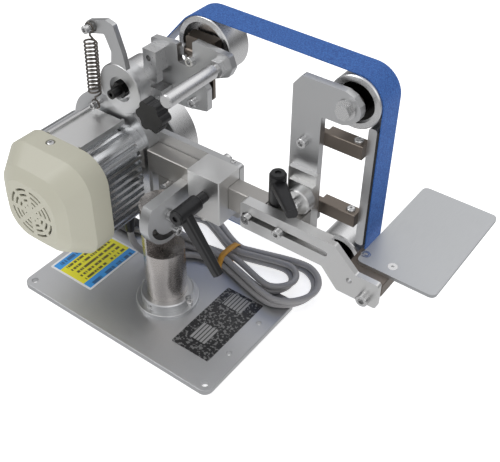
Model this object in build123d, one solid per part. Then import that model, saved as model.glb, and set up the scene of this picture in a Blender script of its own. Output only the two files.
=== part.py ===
from build123d import *
import math
import os

# Belt grinder on a swivelling, tilting stand. Millimetres, +Z up.
# Origin: centre of the base plate's underside. The tool arm runs along +X, the wheel axles along +Y.

# Base
BASE_X = 220.0
BASE_Y = 132.0
BASE_T = 5.0
BASE_HOLE_X = 204.0
BASE_HOLE_Y = 116.0
BASE_HOLE_R = 3.25
SIDE_HOLE_X = 98.0
SIDE_HOLE_YS = (-20.0, 24.0)
SIDE_HOLE_R = 2.5
POST_X = 12.0
POST_R = 18.5
POST_TOP = 116.0
POST_SHELF = 69.0
POST_FLAT = 9.0
FLANGE_R = 29.0
RING_R = 24.0
RING_TOP = 17.0

# Tilt joint
TILT_Y = 2.5
TILT_Z = 105.0
TILT_X0 = 9.3
TILT_X1 = 19.0
TILT_R = 27.0
SLOT_R = 20.5
SLOT_SCREW_DEG = -75.0
TILT_SWING = 90.0

# Motor
MOTOR_X = -72.0
MOTOR_Z = 108.0
MOTOR_W = 90.0
MOTOR_Y0 = -22.0
MOTOR_Y1 = 33.9
COVER_Y = -68.0
DRIVE_R = 47.0

# Arm and wheels
BELT_Y0 = 70.0
BELT_W = 25.0
BELT_T = 1.0
TRACK_X = 6.0
TRACK_Z = 227.7
TRACK_R = 26.5
UPPER_X = 147.0
UPPER_Z = 231.0
LOWER_X = 147.0
LOWER_Z = 82.0
IDLER_R = 21.5
HUB_X = -51.0
HUB_Z = 188.5
BAR_Y0 = 30.0
BAR_Y1 = 46.0
BAR_Z0 = 114.0
BAR_Z1 = 136.0
ANCHOR_X = -81.0
ANCHOR_Z = 164.0
LEVER_X = -77.0
LEVER_Z = 237.0
FRAME_BOLTS = ((-12.0, 125.0), (12.0, 125.0), (40.0, 108.0), (40.0, 142.0))
REST_X = 198.0
REST_Z = 102.0
SLIDE_GAP = 0.3
ARM_X0 = 44.0
REST_SCREW_XS = (88.0, 118.0)

# Tracking and release
KNOB_X = -2.0
KNOB_Z = 190.0
ROD_X = 30.5
ROD_Z = 224.0
TILT2_Y = 66.9
TILT2_Z = 222.0
SPRING_Y = 26.6
SPRING_TURNS = 14
SPRING_PITCH = 3.6
BRACKET_SCREWS = ((-32.0, 216.5), (-33.0, 181.0), (3.5, 221.0), (4.3, 182.6))
PLATEN_BOLT_XS = (112.0, 124.0)
BAR_TOPS = (134.5, 200.0)
BAR_SCREW_X = 153.5
TOP_LEVER = (103.0, 38.0)
EAR_SCREW_XS = (-58.0, -44.5)
TABLE_SCREW_XS = (178.0, 202.0)
TABLE_SCREW_Y = 54.5

# Mains cord
CORD_R = 3.0
GLAND_Z0 = 63.0
GLAND_Z1 = 69.0
CORD_UPPER = (
    (-45, 16, 46), (-45, 16, 33), (-38.6, 22.4, 17.2), (-27.6, 33.4, 8.2), (-14.9, 46.1, 8.2),
)
CORD_LOWER = (
    (-14.9, 46.1, 8.2), (-6.4, 54.6, 8.2), (4.7, 60.2, 8.2), (15, 60.2, 8.2),
)
CORD_TAIL = (
    (-45, 80, 8.2), (-45, 72, 8.2), (-49, 62, 8.2), (-57, 54, 8.2), (-66, 50, 8.2), (-74, 50, 8.2),
)
PLUG_X = -74.0
PLUG_Y = 50.0
PLUG_Z = 11.7
HANK_TOP = 17.5
HANK_OUTSIDE = (
    (15, 57), (32, 56), (55, 50), (86, 46), (109, 54), (120, 78), (110, 100), (86, 110), (58, 104),
    (40, 97), (26, 95), (8, 102), (-8, 115), (-24, 119), (-40, 110), (-47, 92), (-40, 72), (-20, 64.8),
    (0, 61),
)
HANK_RIGHT_HOLE = ((54, 76), (70, 68), (88, 66), (99, 78), (88, 90), (70, 86))
HANK_LEFT_HOLE = (-21.0, 92.0)
HANK_LEFT_HOLE_R = 13.0


def seat(axis, centre, face, out=1):
    """Location on a face across a world axis; its local Z leaves the face along out * axis."""
    turns = {
        ("X", 1): Rot(0, 90, 0),
        ("X", -1): Rot(0, -90, 0),
        ("Y", 1): Rot(-90, 0, 0),
        ("Y", -1): Rot(90, 0, 0),
        ("Z", 1): Rot(0, 0, 0),
        ("Z", -1): Rot(180, 0, 0),
    }
    a, b = centre
    spots = {"X": (face, a, b), "Y": (a, face, b), "Z": (a, b, face)}
    return Pos(*spots[axis]) * turns[axis, out]


def cyl(axis, r, centre, lo, hi):
    """Cylinder along a world axis from lo to hi; centre is its two other coordinates."""
    body = Cylinder(r, hi - lo, align=(Align.CENTER, Align.CENTER, Align.MIN))
    return seat(axis, centre, lo) * body


def tube(axis, r_out, r_in, centre, lo, hi):
    """Hollow cylinder along a world axis."""
    return cyl(axis, r_out, centre, lo, hi) - cyl(axis, r_in, centre, lo - 1, hi + 1)


def block(x0, x1, y0, y1, z0, z1):
    """Box between two corners."""
    body = Box(x1 - x0, y1 - y0, z1 - z0, align=(Align.MIN, Align.MIN, Align.MIN))
    return Pos(x0, y0, z0) * body


def plate_y(points, y0, y1, radius=0.0):
    """Plate across Y, cut to an outline of (x, z) points with rounded corners."""
    outline = Polyline(*[(x, 0, z) for x, z in points], close=True)
    body = extrude(Pos(0, y0, 0) * make_face(outline), amount=y1 - y0, dir=(0, 1, 0))
    if radius > 0:
        body = fillet(body.edges().filter_by(Axis.Y), radius)
    return body


def hex_prism(across, height):
    """Hexagonal prism standing on the local XY plane."""
    return extrude(RegularPolygon(across / math.sqrt(3), 6), amount=height)


def cap_screw(d, length):
    """Socket head cap screw: head above the local XY plane, shank below."""
    head = Pos(0, 0, d / 2) * Cylinder(0.85 * d, d)
    head = chamfer(head.edges().group_by(Axis.Z)[-1], 0.08 * d)
    shank = Pos(0, 0, -length / 2) * Cylinder(d / 2, length)
    return head + shank - Pos(0, 0, 0.45 * d) * hex_prism(0.8 * d, d)


def button_screw(d, length):
    """Button head screw: a low domed head above the local XY plane."""
    height = 0.55 * d
    head = Pos(0, 0, height / 2) * Cylinder(0.95 * d, height)
    head = fillet(head.edges().group_by(Axis.Z)[-1], 0.4 * d)
    shank = Pos(0, 0, -length / 2) * Cylinder(d / 2, length)
    return head + shank - Pos(0, 0, 0.2 * d) * hex_prism(0.6 * d, d)


def screw_y(x, z, face, d, length):
    """Cap screw with its head on the -Y side of a face."""
    return seat("Y", (x, z), face, -1) * cap_screw(d, length)


def group(*solids):
    """Several separate solids as one node."""
    return Compound([solid for shape in solids for solid in shape.solids()])


# Base body

def base_plate():
    body = block(-BASE_X / 2, BASE_X / 2, -BASE_Y / 2, BASE_Y / 2, 0, BASE_T)
    body = fillet(body.edges().filter_by(Axis.Z), 8)
    body = fillet(body.faces().sort_by(Axis.Z)[-1].edges(), 0.6)
    for sx in (-1, 1):
        for sy in (-1, 1):
            body -= cyl("Z", BASE_HOLE_R, (sx * BASE_HOLE_X / 2, sy * BASE_HOLE_Y / 2), -1, 9)
    for y in SIDE_HOLE_YS:
        body -= cyl("Z", SIDE_HOLE_R, (SIDE_HOLE_X, y), -1, 9)
    for x, y in flange_points():
        body -= cyl("Z", 2, (x, y), -1, 9)
    return body


def flange_points():
    """Centres of the three flange screws, on the three quarters without the set screw."""
    spots = []
    for deg in (5, 95, 185):
        a = math.radians(deg)
        spots.append((POST_X + 24.2 * math.cos(a), 24.2 * math.sin(a)))
    return spots


def post_flange():
    centre = (POST_X, 0)
    disc = cyl("Z", FLANGE_R, centre, BASE_T, BASE_T + 4)
    disc = fillet(disc.edges().group_by(Axis.Z)[-1], 1)
    ring = cyl("Z", RING_R, centre, BASE_T + 3, RING_TOP)
    ring = chamfer(ring.edges().group_by(Axis.Z)[-1], 1)
    body = disc + ring - cyl("Z", POST_R + 0.05, centre, 0, 30)
    for x, y in flange_points():
        body -= cyl("Z", 3.6, (x, y), BASE_T + 4, 30)
        body -= cyl("Z", 2, (x, y), 0, 30)
    return body - cyl("Y", 2.5, (POST_X, 12), -40, 0)


def flange_screws():
    return group(*[Pos(x, y, BASE_T + 4) * cap_screw(4, 8.8) for x, y in flange_points()])


def post_set_screw():
    body = cyl("Y", 2.5, (POST_X, 12), -23.4, -POST_R - 0.1)
    return body - seat("Y", (POST_X, 12), -21.4, -1) * hex_prism(2.5, 5)


def rating_plate(x0, x1, y0, y1):
    body = block(x0, x1, y0, y1, BASE_T, BASE_T + 0.4)
    return fillet(body.edges().filter_by(Axis.Z), 1)


def cord_hank():
    """Hank of cord tied at its waist, on the plate and the floor behind: one solid of its outer shape."""
    outline = Spline(*HANK_OUTSIDE, periodic=True)
    hole = Spline(*HANK_RIGHT_HOLE, periodic=True)
    body = extrude(make_face(outline), amount=HANK_TOP) - extrude(make_face(hole), amount=30)
    body -= cyl("Z", HANK_LEFT_HOLE_R, HANK_LEFT_HOLE, -1, 30)
    body -= block(-30, 15, 40, 64.5, -1, 40) + block(-60, -38, 60, 80, -1, 40)
    return body - block(-200, 200, -200, BASE_Y / 2 + 0.1, -1, BASE_T + 0.1)


def cord_tie():
    """Tie strap laid over the hank's waist."""
    return block(23.5, 29.5, 63, 94, HANK_TOP, HANK_TOP + 0.8)


# Post body

def swivel_post():
    centre = (POST_X, 0)
    body = cyl("Z", POST_R, centre, BASE_T + 0.2, POST_TOP)
    body = chamfer(body.edges().group_by(Axis.Z)[0], 0.8)
    body -= block(POST_FLAT, 60, -40, 40, POST_SHELF, 200)
    body -= cyl("X", 3, (TILT_Y, TILT_Z), -20, 60)
    y, z = slot_screw_spot()
    return body - cyl("X", 2.5, (y, z), -20, 60)


def slot_screw_spot():
    a = math.radians(SLOT_SCREW_DEG)
    return TILT_Y + SLOT_R * math.cos(a), TILT_Z + SLOT_R * math.sin(a)


def tilt_screws():
    pivot = seat("X", (TILT_Y, TILT_Z), TILT_X1 + 0.1) * cap_screw(6, 22)
    lock = seat("X", slot_screw_spot(), TILT_X1 + 0.1) * cap_screw(5, 20)
    return group(pivot, lock)


# Head body

def tilt_plate():
    disc = cyl("X", TILT_R, (TILT_Y, TILT_Z), TILT_X0, TILT_X1)
    arm = block(TILT_X0, TILT_X1, TILT_Y, BAR_Y0, 92, 123)
    foot = block(TILT_X0, TILT_X1, TILT_Y, BAR_Y1, 96, BAR_Z0)
    body = disc + arm + foot - block(0, 40, -60, 60, 123, 200)
    body -= cyl("X", 3.05, (TILT_Y, TILT_Z), 0, 40)
    body -= cyl("X", 2.5, (38, 105), 0, 40)
    return body - arc_slot(SLOT_R, 2.7, SLOT_SCREW_DEG - TILT_SWING, SLOT_SCREW_DEG)


def arc_slot(radius, half, start, end):
    """Curved through slot about the tilt axis, from start to end degrees measured from +Y."""
    ring = tube("X", radius + half, radius - half, (TILT_Y, TILT_Z), 0, 40)
    reach = 60
    points = [(0, TILT_Y, TILT_Z)]
    for i in range(7):
        a = math.radians(start + (end - start) * i / 6)
        points.append((0, TILT_Y + reach * math.cos(a), TILT_Z + reach * math.sin(a)))
    wedge = extrude(make_face(Polyline(*points, close=True)), amount=40, dir=(1, 0, 0))
    body = ring & wedge
    for deg in (start, end):
        a = math.radians(deg)
        body += cyl("X", half, (TILT_Y + radius * math.cos(a), TILT_Z + radius * math.sin(a)), 0, 40)
    return body


def support_bar():
    body = block(-27.9, 27, BAR_Y0, BAR_Y1, BAR_Z0, BAR_Z1)
    body = chamfer(body.edges().filter_by(Axis.X), 0.6)
    for x in (-12, 12):
        body -= cyl("Y", 2.5, (x, 125), 38, 60)
    return body


def tilt_lug():
    body = block(-17, TILT_X0, BAR_Y0, BAR_Y1, 96, BAR_Z0)
    body = chamfer(body.edges().filter_by(Axis.Y), 0.5)
    return body - cyl("Y", 2.5, (-7, 107), 0, 80) - cyl("X", 2.5, (38, 105), 0.5, 40)


def lug_screws():
    front = screw_y(-7, 107, BAR_Y0, 5, 20)
    side = seat("X", (38, 105), TILT_X1) * cap_screw(5, 18)
    return group(front, side)


def end_outline(y0, y1):
    """Plate around the motor axis with large top corners."""
    body = block(-119, -28, y0, y1, 63, 171)
    edges = body.edges().filter_by(Axis.Y)
    body = fillet(edges.filter_by(lambda e: e.center().Z > 100), 40)
    edges = body.edges().filter_by(Axis.Y)
    return fillet(edges.filter_by(lambda e: e.center().Z < 64), 20)


def frame_plate():
    wing = block(-60, 60, 46, 52, 92, 147)
    body = end_outline(46, 52) + fillet(wing.edges().filter_by(Axis.Y), 3)
    body -= cyl("Y", 24, (MOTOR_X, MOTOR_Z), 0, 80)
    body -= cyl("Z", 1.25, (51, 49), 140, 160)
    for x, z in FRAME_BOLTS:
        body -= cyl("Y", 2.5, (x, z), 0, 80)
    for x, z in motor_corners():
        body -= cyl("Y", 2, (x, z), 0, 80)
    return body - cyl("Y", 2.5, (-7, 107), 0, 50)


def frame_screws():
    top = Pos(51, 49, 147) * button_screw(2.5, 6)
    back = [seat("Y", spot, 52) * cap_screw(5, 14) for spot in FRAME_BOLTS]
    return group(top, *back)


def motor_adaptor():
    body = end_outline(34, 46) - cyl("Y", 24, (MOTOR_X, MOTOR_Z), 0, 80)
    for x, z in motor_corners():
        body -= cyl("Y", 2, (x, z), 0, 80)
    return body - cyl("Y", 2, (ANCHOR_X, ANCHOR_Z), 0, 44)


def motor_corners():
    spots = []
    for sx in (-1, 1):
        for sz in (-1, 1):
            spots.append((MOTOR_X + sx * 32, MOTOR_Z + sz * 32))
    return spots


def square_y(width, radius, y0, y1):
    """Rounded square bar on the motor axis."""
    h = width / 2
    body = block(MOTOR_X - h, MOTOR_X + h, y0, y1, MOTOR_Z - h, MOTOR_Z + h)
    return fillet(body.edges().filter_by(Axis.Y), radius)


def motor_housing():
    """Finned square housing: a core with fins along its axis, and an end bell towards the adaptor."""
    body = square_y(MOTOR_W - 12, 18, MOTOR_Y0, MOTOR_Y1)
    fins = square_y(MOTOR_W, 22, MOTOR_Y0, 22)
    for i in range(-5, 6):
        step = 7.4 * i
        fins -= block(MOTOR_X + step - 2.3, MOTOR_X + step + 2.3, MOTOR_Y0 - 1, 40, 150.5, 160)
        fins -= block(MOTOR_X + step - 2.3, MOTOR_X + step + 2.3, MOTOR_Y0 - 1, 40, 56, 65.5)
        fins -= block(-32.5, -20, MOTOR_Y0 - 1, 40, MOTOR_Z + step - 2.3, MOTOR_Z + step + 2.3)
        fins -= block(-125, -111.5, MOTOR_Y0 - 1, 40, MOTOR_Z + step - 2.3, MOTOR_Z + step + 2.3)
    bell = square_y(MOTOR_W - 6, 20, 24, MOTOR_Y1)
    body = body + fins + bell - block(-92, -52, MOTOR_Y0 - 1, 31, 152.5, 170)
    body -= cyl("Y", 35, (MOTOR_X, MOTOR_Z), MOTOR_Y0 - 1, 24)
    body -= cyl("Y", 9, (MOTOR_X, MOTOR_Z), 0, 60)
    for x, z in motor_corners():
        body -= cyl("Y", 2.1, (x, z), 14, 60)
    return body - cyl("Z", 6, (CORD_UPPER[0][0], CORD_UPPER[0][1]), 40, GLAND_Z1)


def motor_top_plate():
    body = block(-91.5, -52.5, -21.5, 30.8, 152.5, 155)
    rails = block(-91.5, -89, -21.5, 30.8, 155, 157) + block(-55, -52.5, -21.5, 30.8, 155, 157)
    return body + rails


def motor_stator():
    return tube("Y", 34.9, 22, (MOTOR_X, MOTOR_Z), -16, 20)


def motor_screws():
    return group(*[seat("Y", (x, z), 52) * button_screw(4, 36) for x, z in motor_corners()])


def fan_cover():
    """Domed octagonal cover, open towards the motor, with concentric air slots round its centre."""
    outer = cover_shell(96, 82, 45.5, 19)
    inner = Pos(0, 2.5, 0) * cover_shell(86, 77, 45.5, 17.5)
    body = outer - inner
    for r in (22.6, 17.4, 12.2, 7.0):
        body -= air_ring(r)
    return body - cyl("Z", 4.2, (-79, -30), 154.2, 170) - cyl("Z", 2, (-79, -30), 140, 170)


def cover_shell(back_w, mid_w, depth, dome):
    """Lofted rounded shell from the motor side to the domed front."""
    widths = [(0, back_w, 26), (0.45 * depth, back_w, 26), (depth - 0.35 * dome, mid_w - 6, 26), (depth, 58, 22)]
    faces = []
    for y, w, r in widths:
        sketch = RectangleRounded(w, w, r)
        faces.append(seat("Y", (MOTOR_X, MOTOR_Z), MOTOR_Y0 - y, -1) * sketch)
    return loft(faces, ruled=True)


def air_ring(r):
    """Four curved through slots of one radius."""
    ring = tube("Y", r + 1.1, r - 1.1, (MOTOR_X, MOTOR_Z), -80, -55)
    for deg in (0, 45, 90, 135):
        bar = Box(80, 40, 4.5)
        ring -= Pos(MOTOR_X, -68, MOTOR_Z) * Rot(0, deg, 0) * bar
    return ring


def cooling_fan():
    centre = (MOTOR_X, MOTOR_Z)
    body = tube("Y", 12, 6, centre, -52, -34)
    for i in range(8):
        blade = Pos(24, 0, 0) * Box(27, 16, 1.6)
        body += Pos(MOTOR_X, -43, MOTOR_Z) * Rot(0, 45 * i, 0) * blade
    return body


def motor_shaft():
    centre = (MOTOR_X, MOTOR_Z)
    shaft = cyl("Y", 6, centre, -54, 97)
    rotor = tube("Y", 21.5, 6, centre, -16, 20)
    return shaft + rotor


def drive_wheel():
    centre = (MOTOR_X, MOTOR_Z)
    body = cyl("Y", DRIVE_R, centre, BELT_Y0, BELT_Y0 + 26)
    body = chamfer(body.edges().filter_by(GeomType.CIRCLE), 1)
    body -= tube("Y", 39, 14, centre, BELT_Y0 - 1, BELT_Y0 + 8)
    body -= tube("Y", 39, 14, centre, BELT_Y0 + 18, BELT_Y0 + 30)
    return body - cyl("Y", 6, centre, 0, 120)


def motor_bearings():
    return group(tube("Y", 9, 6.05, (MOTOR_X, MOTOR_Z), 25, 33.5))


def sleeve_block():
    """Block with a square channel that guides the tool arm; the frame plate closes its back."""
    g = SLIDE_GAP
    body = block(27, 60, 17.7, 46, 103, 147)
    body = chamfer(body.edges().filter_by(Axis.Z), 0.8)
    body -= block(27 + 4, 61, BAR_Y0 - g, 47, BAR_Z0 - g, BAR_Z1 + g)
    body -= cyl("Y", 3, (45, 128), 0, BAR_Y0)
    for z in (108, 142):
        body -= cyl("Y", 2.5, (40, z), 38, 60)
    return body - cyl("Z", 2.5, (40, 24), 100, 113)


def block_screw():
    return seat("Z", (40, 24), 103, -1) * cap_screw(5, 10)


# Side lever, on the sleeve block

def lever(length, hub_len, neck=0.0):
    """Clamp lever: hub along local Z above its neck, arm along local X near the hub's free end."""
    hub = Pos(0, 0, (hub_len + neck) / 2) * Cylinder(7, hub_len - neck)
    hub = chamfer(hub.edges().group_by(Axis.Z)[0], 1.2)
    hub += Pos(0, 0, hub_len) * Cone(7, 5.8, 4)
    if neck:
        hub += Pos(0, 0, neck / 2) * Cylinder(4.6, neck)
    arm = loft([
        Pos(4, 0, hub_len - 8) * Rot(0, 90, 0) * RectangleRounded(9, 12, 2.5),
        Pos(length - 3, 0, hub_len - 5) * Rot(0, 90, 0) * RectangleRounded(7.5, 9, 2.5),
    ])
    tip = Pos(length - 3, 0, hub_len - 5) * Rot(0, 90, 0) * extrude(RectangleRounded(7.5, 9, 2.5), amount=3)
    return hub + arm + tip


def side_lever():
    turn = math.degrees(math.atan2(45, 38))
    body = seat("Y", (45, 128), 17.4, -1) * (Rot(0, 0, -turn) * lever(58, 35, 9))
    stud = cyl("Y", 2.95, (45, 128), 17.4, BAR_Y0 - 0.6)
    return body + stud - seat("Y", (45, 128), -18, -1) * hex_prism(5, 12)


# Tool arm body

def tool_arm_bar():
    body = block(ARM_X0, 94, BAR_Y0, BAR_Y1 - 0.3, BAR_Z0, BAR_Z1)
    body = chamfer(body.edges().filter_by(Axis.X), 0.6)
    return body - cyl("Y", 2.5, (REST_SCREW_XS[0], 126), 0, 44)


def clamp_block():
    body = block(94, 130, BAR_Y0, BAR_Y1, BAR_Z0, BAR_Z1)
    body = chamfer(body.edges().filter_by(Axis.X), 0.6)
    body -= block(96, 97.2, 20, 60, 118, 140)
    body -= cyl("Z", 3.05, TOP_LEVER, 125, 140)
    body -= cyl("Y", 2.5, (REST_SCREW_XS[1], 126), 0, 44)
    for x in PLATEN_BOLT_XS:
        body -= cyl("Y", 2.5, (x, 119), BAR_Y1 - 8, 60)
    return body


def top_lever():
    x, y = TOP_LEVER
    body = Pos(x, y, BAR_Z1 + 0.3) * Rot(0, 0, -41) * lever(43, 28)
    stud = cyl("Z", 2.95, TOP_LEVER, 125.3, BAR_Z1 + 0.3)
    return body + stud - Pos(x, y, 165) * hex_prism(5, 12)


def pivot_boss():
    body = cyl("Y", 11, (122.5, 147), 36, 46)
    body = chamfer(body.edges().filter_by(GeomType.CIRCLE), 0.8)
    return body - cyl("Y", 2.5, (122.5, 147), 0, 80)


def spacer_plates():
    first = block(108, 130, 46.0, 50.8, 110, 158)
    second = block(104, 130, 50.8, 56.0, 106, 166)
    bolts = cyl("Y", 2.5, (122.5, 147), 0, 80)
    for x in PLATEN_BOLT_XS:
        bolts += cyl("Y", 2.5, (x, 119), 0, 80)
    return group(first - bolts, second - bolts)


def platen_plate():
    points = [
        (101, 104), (127, 104), (127, 217), (145, 217), (152, 219.5), (158, 226), (159, 231),
        (158, 236), (152, 242.5), (145, 245), (108, 245), (101, 236),
    ]
    body = plate_y(points, 56, 62.5, 2.5)
    body -= cyl("Y", 4, (UPPER_X, UPPER_Z), 0, 80)
    body -= cyl("Y", 2.5, (113.4, 190), 0, 80)
    for x, z in ((122.5, 147), (PLATEN_BOLT_XS[0], 119), (PLATEN_BOLT_XS[1], 119)):
        body -= cyl("Y", 2.5, (x, z), 0, 80)
    return body


def platen_screws():
    screws = [screw_y(113.4, 190, 56, 5, 6.4), screw_y(122.5, 147, 36, 5, 26)]
    screws += [seat("Y", (x, 119), 62.5) * button_screw(4.9, 24) for x in PLATEN_BOLT_XS]
    screws += [Pos(BAR_SCREW_X, 68, z) * button_screw(4, 10) for z in BAR_TOPS]
    return group(*screws)


def cross_bars():
    bars = []
    for z1 in BAR_TOPS:
        bar = block(104, 160, 62.5, 68.6, z1 - 12, z1) + block(127.5, 160, 68.6, 74, z1 - 12, z1)
        for x in PLATEN_BOLT_XS:
            bar -= cyl("Y", 5, (x, 119), 62, 80)
        bar -= cyl("Z", 2, (BAR_SCREW_X, 68), z1 - 11, z1 + 5)
        bars.append(chamfer(bar.edges().filter_by(Axis.X), 0.5))
    return bars


def idler_carrier():
    """Link that hangs from the lower bar and holds the lower wheel's axle."""
    points = [(101, 73), (147, 73), (147, 91), (117, 91), (117, 122.5), (101, 122.5)]
    body = plate_y(points, 62.5, 66.9) + cyl("Y", 9, (LOWER_X, LOWER_Z), 62.5, 66.9)
    for x in PLATEN_BOLT_XS:
        body -= cyl("Y", 5, (x, 119), 62, 80)
    return body - cyl("Y", 4, (LOWER_X, LOWER_Z), 0, 80)


def platen_bars():
    spacer = tube("Y", 9, 4, (UPPER_X, UPPER_Z), 62.5, 67)
    return group(*cross_bars(), idler_carrier(), spacer)


def platen_bar():
    body = block(160, 167, 69, 94, 102, 214)
    return fillet(body.edges().filter_by(Axis.Y), 2.5)


def platen_pad():
    return block(167, 168.4, 69.5, 94, 104, 212)


def upper_axle():
    axle = cyl("Y", 3.95, (UPPER_X, UPPER_Z), 50, 96)
    head = seat("Y", (UPPER_X, UPPER_Z), 54.6, -1) * hex_prism(11, 5)
    washer = tube("Y", 8, 3.95, (UPPER_X, UPPER_Z), 54.6, 56)
    return axle + head + washer


def lower_axle():
    axle = cyl("Y", 3.95, (LOWER_X, LOWER_Z), 56, 96)
    head = seat("Y", (LOWER_X, LOWER_Z), 61, -1) * hex_prism(11, 5)
    washer = tube("Y", 8, 3.95, (LOWER_X, LOWER_Z), 61, 62.5)
    return axle + head + washer


def axle_nuts():
    nuts = []
    for x, z in ((UPPER_X, UPPER_Z), (LOWER_X, LOWER_Z)):
        nut = seat("Y", (x, z), 96.3) * hex_prism(11, 5) - cyl("Y", 3.95, (x, z), 90, 110)
        nuts.append(nut + tube("Y", 6.5, 3.95, (x, z), 95.4, 96.3))
    return group(*nuts)


def pulley(x, z, r, bore, y0, y1):
    """Crowned roller with a recess for the bearing at each face."""
    body = cyl("Y", r, (x, z), y0, y1)
    body = chamfer(body.edges().filter_by(GeomType.CIRCLE), 0.8)
    body -= cyl("Y", bore, (x, z), y0 - 1, y1 + 1)
    body -= cyl("Y", r - 5, (x, z), y0 - 1, y0 + 3)
    return body


def bearing_pair(x, z, r_out, r_in, y0, y1):
    """One bearing near each face of a roller."""
    return group(
        tube("Y", r_out, r_in, (x, z), y0 + 3, y0 + 10),
        tube("Y", r_out, r_in, (x, z), y1 - 8, y1 - 1),
    )


# Work rest

def rest_bracket():
    points = [
        (80, 112), (158, 112), (173, 95), (208, 95), (208, 119), (188, 119), (168, 138), (80, 138),
    ]
    body = plate_y(points, 20, 29.7, 2.5)
    slot = block(84.75, 159.5, 0, 60, 123.2, 128.8)
    for x in (84.75, 159.5):
        slot += cyl("Y", 2.8, (x, 126), 0, 60)
    body -= slot
    body -= cyl("Y", 3, (REST_X, REST_Z), 0, 60)
    body -= block(162, 215, 25, 40, 90, 145)
    return body - cyl("Y", 2.6, (183, 110.5), 0, 26)


def rest_bracket_screws():
    return group(*[screw_y(x, 126, 19.7, 5, 24) for x in REST_SCREW_XS])


def rest_pivot():
    """Pivot screw through the bracket and the block, with its washer and nut behind."""
    centre = (REST_X, REST_Z)
    screw = screw_y(REST_X, REST_Z, 20, 6, 50)
    spacer = tube("Y", 6, 3, centre, 25, 33.7)
    nut = seat("Y", centre, 62.8) * hex_prism(8, 5) - cyl("Y", 3, centre, 0, 80)
    return screw + spacer + nut


def rest_block():
    """Block under the table, turning on the pivot screw."""
    body = block(170, 205, 34, 62.4, 95, 107)
    body = chamfer(body.edges().filter_by(Axis.Y), 0.6)
    body -= cyl("Y", 3.05, (REST_X, REST_Z), 0, 80)
    for x in TABLE_SCREW_XS:
        body -= cyl("Z", 1.9, (x, TABLE_SCREW_Y), 105.5, 120)
    return body


def rest_table():
    body = block(175, 243, 44, 161, 107, 110)
    body = fillet(body.edges().filter_by(Axis.Z), 5)
    for x in TABLE_SCREW_XS:
        body -= cyl("Z", 1.9, (x, TABLE_SCREW_Y), 105.5, 120)
        body -= countersink(x, 4.1)
    return body


def countersink(x, r):
    """Cone of a flat-headed screw, its face level with the table's top."""
    return Pos(x, TABLE_SCREW_Y, 108.9) * Cone(1.9, r, 2.2)


def table_screws():
    screws = []
    for x in TABLE_SCREW_XS:
        screw = countersink(x, 4.0) + cyl("Z", 1.85, (x, TABLE_SCREW_Y), 105.6, 109)
        screws.append(screw - Pos(x, TABLE_SCREW_Y, 109.2) * hex_prism(2.5, 2))
    return group(*screws)


# Belt tensioner

def tension_hub():
    """Clamped hub with a lever arm for the spring."""
    centre = (HUB_X, HUB_Z)
    disc = cyl("Y", 22.8, centre, 28, 33.7)
    disc = chamfer(disc.edges().filter_by(GeomType.CIRCLE), 0.8)
    sleeve = cyl("Y", 19, centre, 33.7, 45)
    points = [
        (-60, 200), (-40, 200), (-44, 222), (-52, 246), (-60, 248), (-78, 242.4), (-76, 231.6),
        (-63, 235), (-57, 221),
    ]
    arm = plate_y(points, 28.5, 33.2, 2) + cyl("Y", 5.6, (LEVER_X, LEVER_Z), 28.5, 33.2)
    body = disc + sleeve + arm - cyl("Y", 11.3, centre, 0, 80)
    return body - cyl("Y", 2.2, (LEVER_X, LEVER_Z), 0, 80)


def tension_tube():
    centre = (HUB_X, HUB_Z)
    body = tube("Y", 18, 11.3, centre, 45, 62)
    lug = block(-38, -20, 45, 57.7, 178, 190)
    body += lug - cyl("Y", 15, centre, 0, 80)
    return body - cyl("Y", 2.5, (-33, 181), 46, 80) - cyl("Y", 11.3, centre, 0, 80)


def hub_bearings():
    centre = (HUB_X, HUB_Z)
    return group(tube("Y", 11.3, 4.05, centre, 33, 40), tube("Y", 11.3, 4.05, centre, 54, 61))


def tension_pivot():
    """Fixed pivot screw with its nut, carried by the ear behind."""
    centre = (HUB_X, HUB_Z)
    shaft = cyl("Y", 4, centre, 17, 71)
    nut = seat("Y", centre, 32.5, -1) * hex_prism(13, 6) + tube("Y", 7.5, 4, centre, 61.5, 64)
    return shaft + nut - seat("Y", centre, 20, -1) * hex_prism(3.5, 9)


def pivot_ear():
    foot = block(-64, -41, 52, 64.3, 146, 164)
    ear = fillet(block(-64, -41, 64.3, 68.3, 146, 204).edges().filter_by(Axis.Y), 10)
    base = block(-64, -41, 64.3, 68.3, 146, 164)
    body = foot + ear + base
    for x in EAR_SCREW_XS:
        body -= cyl("Y", 1.5, (x, 155), 40, 80)
    return body - cyl("Y", 4, (HUB_X, HUB_Z), 40, 80)


def ear_screws():
    return group(*[seat("Y", (x, 155), 68.3) * button_screw(3, 16) for x in EAR_SCREW_XS])


def coil_spring():
    """Extension spring: its coils, and a straight tail and a ring at each end."""
    length = math.hypot(LEVER_X - ANCHOR_X, LEVER_Z - ANCHOR_Z)
    height = SPRING_TURNS * SPRING_PITCH
    start = (length - height) / 2
    path = Pos(0, 0, start) * Helix(SPRING_PITCH, height, 5.1)
    profile = Plane(origin=path @ 0, z_dir=path % 0) * Circle(0.85)
    coils = sweep(profile, path=path, is_frenet=True)
    lower = spring_hook(path @ 0 - (path % 0) * 0.95, 7, 4, 0)
    upper = spring_hook(path @ 1 + (path % 1) * 0.95, length - 7, length - 4, length)
    lean = math.degrees(math.atan2(LEVER_X - ANCHOR_X, LEVER_Z - ANCHOR_Z))
    return Pos(ANCHOR_X, SPRING_Y, ANCHOR_Z) * Rot(0, lean, 0) * group(coils, lower, upper)


def spring_hook(tip, z_mid, z_top, z_ring):
    """Tail from the coil's end to the spring's axis, and the ring round a screw."""
    tail = bar_between(tuple(tip), (0, 0, z_mid), 0.85) + bar_between((0, 0, z_mid), (0, 0, z_top), 0.85)
    return tail + Pos(0, 0, z_ring) * Rot(90, 0, 0) * Torus(4.0, 0.85)


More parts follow.
